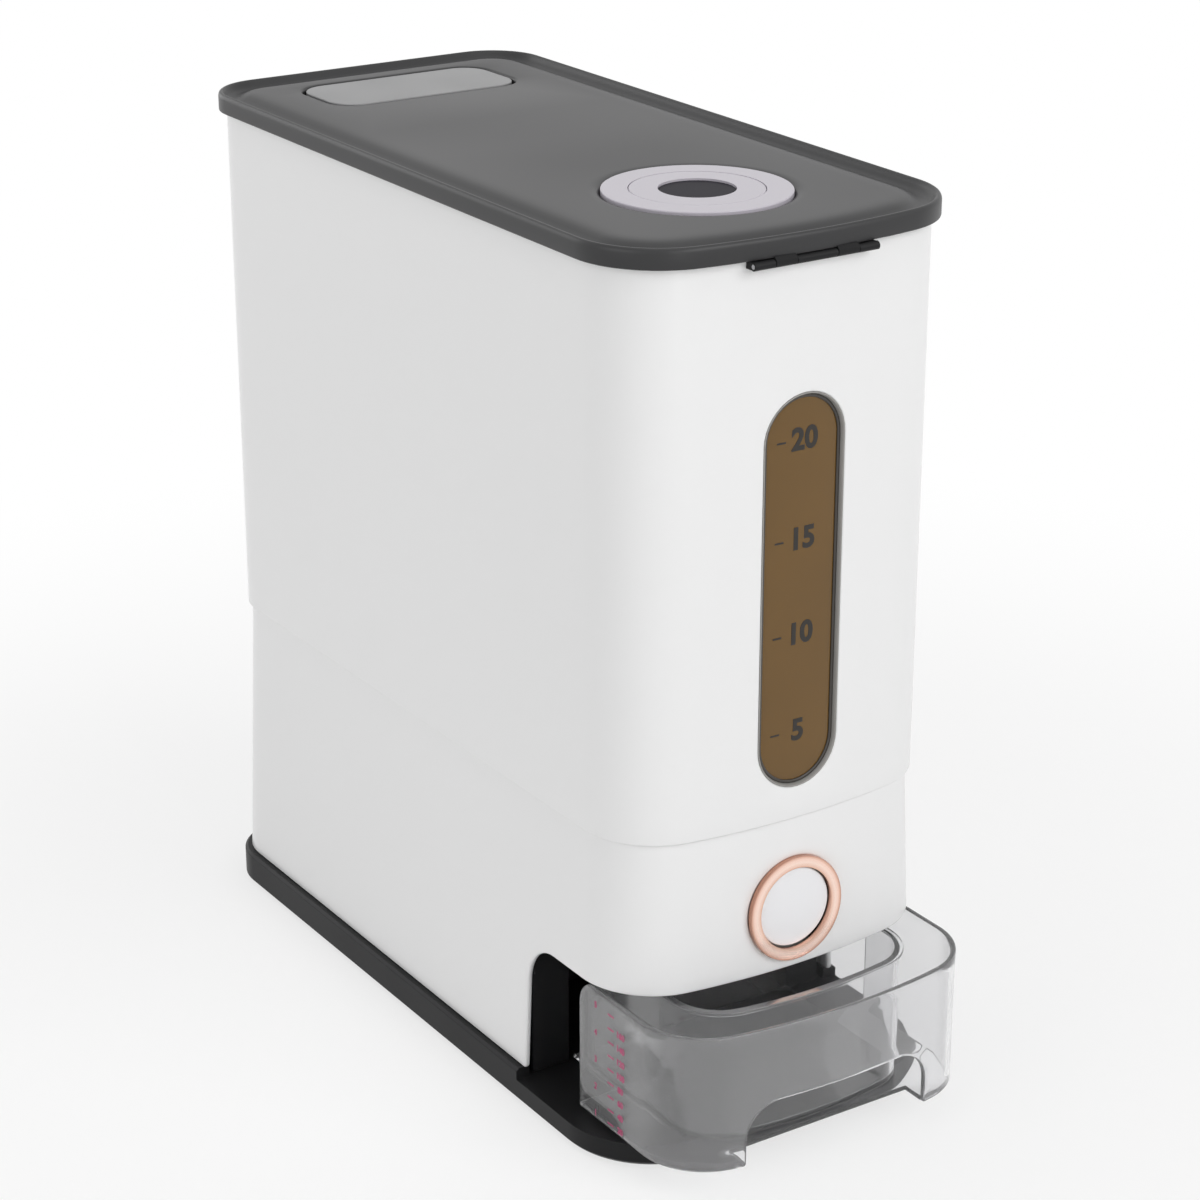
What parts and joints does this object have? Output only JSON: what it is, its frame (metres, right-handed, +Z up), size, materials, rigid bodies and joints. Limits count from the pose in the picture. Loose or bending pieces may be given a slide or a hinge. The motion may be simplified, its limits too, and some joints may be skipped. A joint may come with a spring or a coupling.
{
  "type": "rice dispenser with drawer",
  "caption": "Tall free-standing grain bin with a hinged, latched lid, a level window and a push button that drops a portion into a clear pull-out measuring drawer.",
  "frame": {"origin": "middle of the footprint, on the surface that the feet stand on", "axes": "+Z up, -Y towards the front with the window, button and drawer, +X to the right seen from the front"},
  "size_m": [0.182, 0.4144, 0.414],
  "materials": {
    "body_white": "smooth glossy moulded white ABS",
    "base_black": "satin black moulded plastic",
    "lid_charcoal": "fine satin charcoal moulded plastic",
    "latch_grey": "satin mid-grey moulded plastic",
    "dial_lilac": "smooth pale lilac-white plastic",
    "dial_dark": "dark glossy plastic",
    "ring_rose": "polished rose-gold plating",
    "button_white": "glossy white plastic",
    "clear_plastic": "clear polished styrene",
    "window_amber": "smoked amber-brown clear plastic",
    "bezel_grey": "dark grey-brown satin plastic",
    "inner_white": "plain white moulded plastic",
    "acetal": "low-friction off-white acetal",
    "steel": "plated steel",
    "foot_rubber": "soft black rubber",
    "seal_rubber": "soft grey silicone"
  },
  "bodies": {
    "root": {"base_tray": "base_black", "rubber_feet": "foot_rubber", "base_screws": "steel", "lower_housing": "body_white", "hopper_bin": "body_white", "seam_screws": "steel", "window_pane": "window_amber", "window_bezel": "bezel_grey", "hopper_floor": "inner_white", "drawer_bay": "base_black", "drawer_rails": "base_black", "outlet_chute": "base_black", "gate_guide": "inner_white", "button_ring": "ring_rose", "button_sleeve": "inner_white", "button_spring": "steel", "hinge_bracket": "base_black", "hinge_pin": "steel", "latch_strike": "inner_white"},
    "drawer": {"drawer_shell": "clear_plastic", "measuring_cup": "clear_plastic"},
    "button": {"button_cap": "button_white", "push_rod": "acetal", "shutter_gate": "acetal"},
    "lid": {"lid_shell": "lid_charcoal", "lid_seal": "seal_rubber", "dial_bezel": "dial_lilac", "desiccant_box": "inner_white", "latch_springs": "steel"},
    "dial": {"dial_cap": "dial_lilac", "dial_centre": "dial_dark"},
    "latch": {"latch_button": "latch_grey"},
    "hook": {"latch_hook": "acetal"}
  },
  "joints": [
    {"name": "drawer_slide", "type": "slide", "parent": "root", "child": "drawer", "axis": [0, -1, 0], "range_m": [-0.0375, 0.075]},
    {"name": "button_press", "type": "slide", "parent": "root", "child": "button", "axis": [0, 1, 0], "range_m": [0, 0.012], "stiffness_N_per_m": 300, "springref_m": -0.005, "deforming": ["button_spring"]},
    {"name": "lid_hinge", "type": "hinge", "parent": "root", "child": "lid", "pos_m": [0, -0.17215, 0.4032], "axis": [1, 0, 0], "range_deg": [0, 100]},
    {"name": "dial_twist", "type": "hinge", "parent": "lid", "child": "dial", "pos_m": [0, -0.08875, 0.411], "axis": [0, 0, 1], "range_deg": [0, 90]},
    {"name": "latch_press", "type": "slide", "parent": "lid", "child": "latch", "axis": [0, 0, -1], "range_m": [0, 0.003], "stiffness_N_per_m": 600, "springref_m": -0.002, "deforming": ["latch_springs"]},
    {"name": "hook_slide", "type": "slide", "parent": "lid", "child": "hook", "axis": [0, -1, 0], "range_m": [0, 0.003]}
  ],
  "couplings": [
    {"joint": "hook_slide", "follows": "latch_press", "ratio": 1}
  ]
}
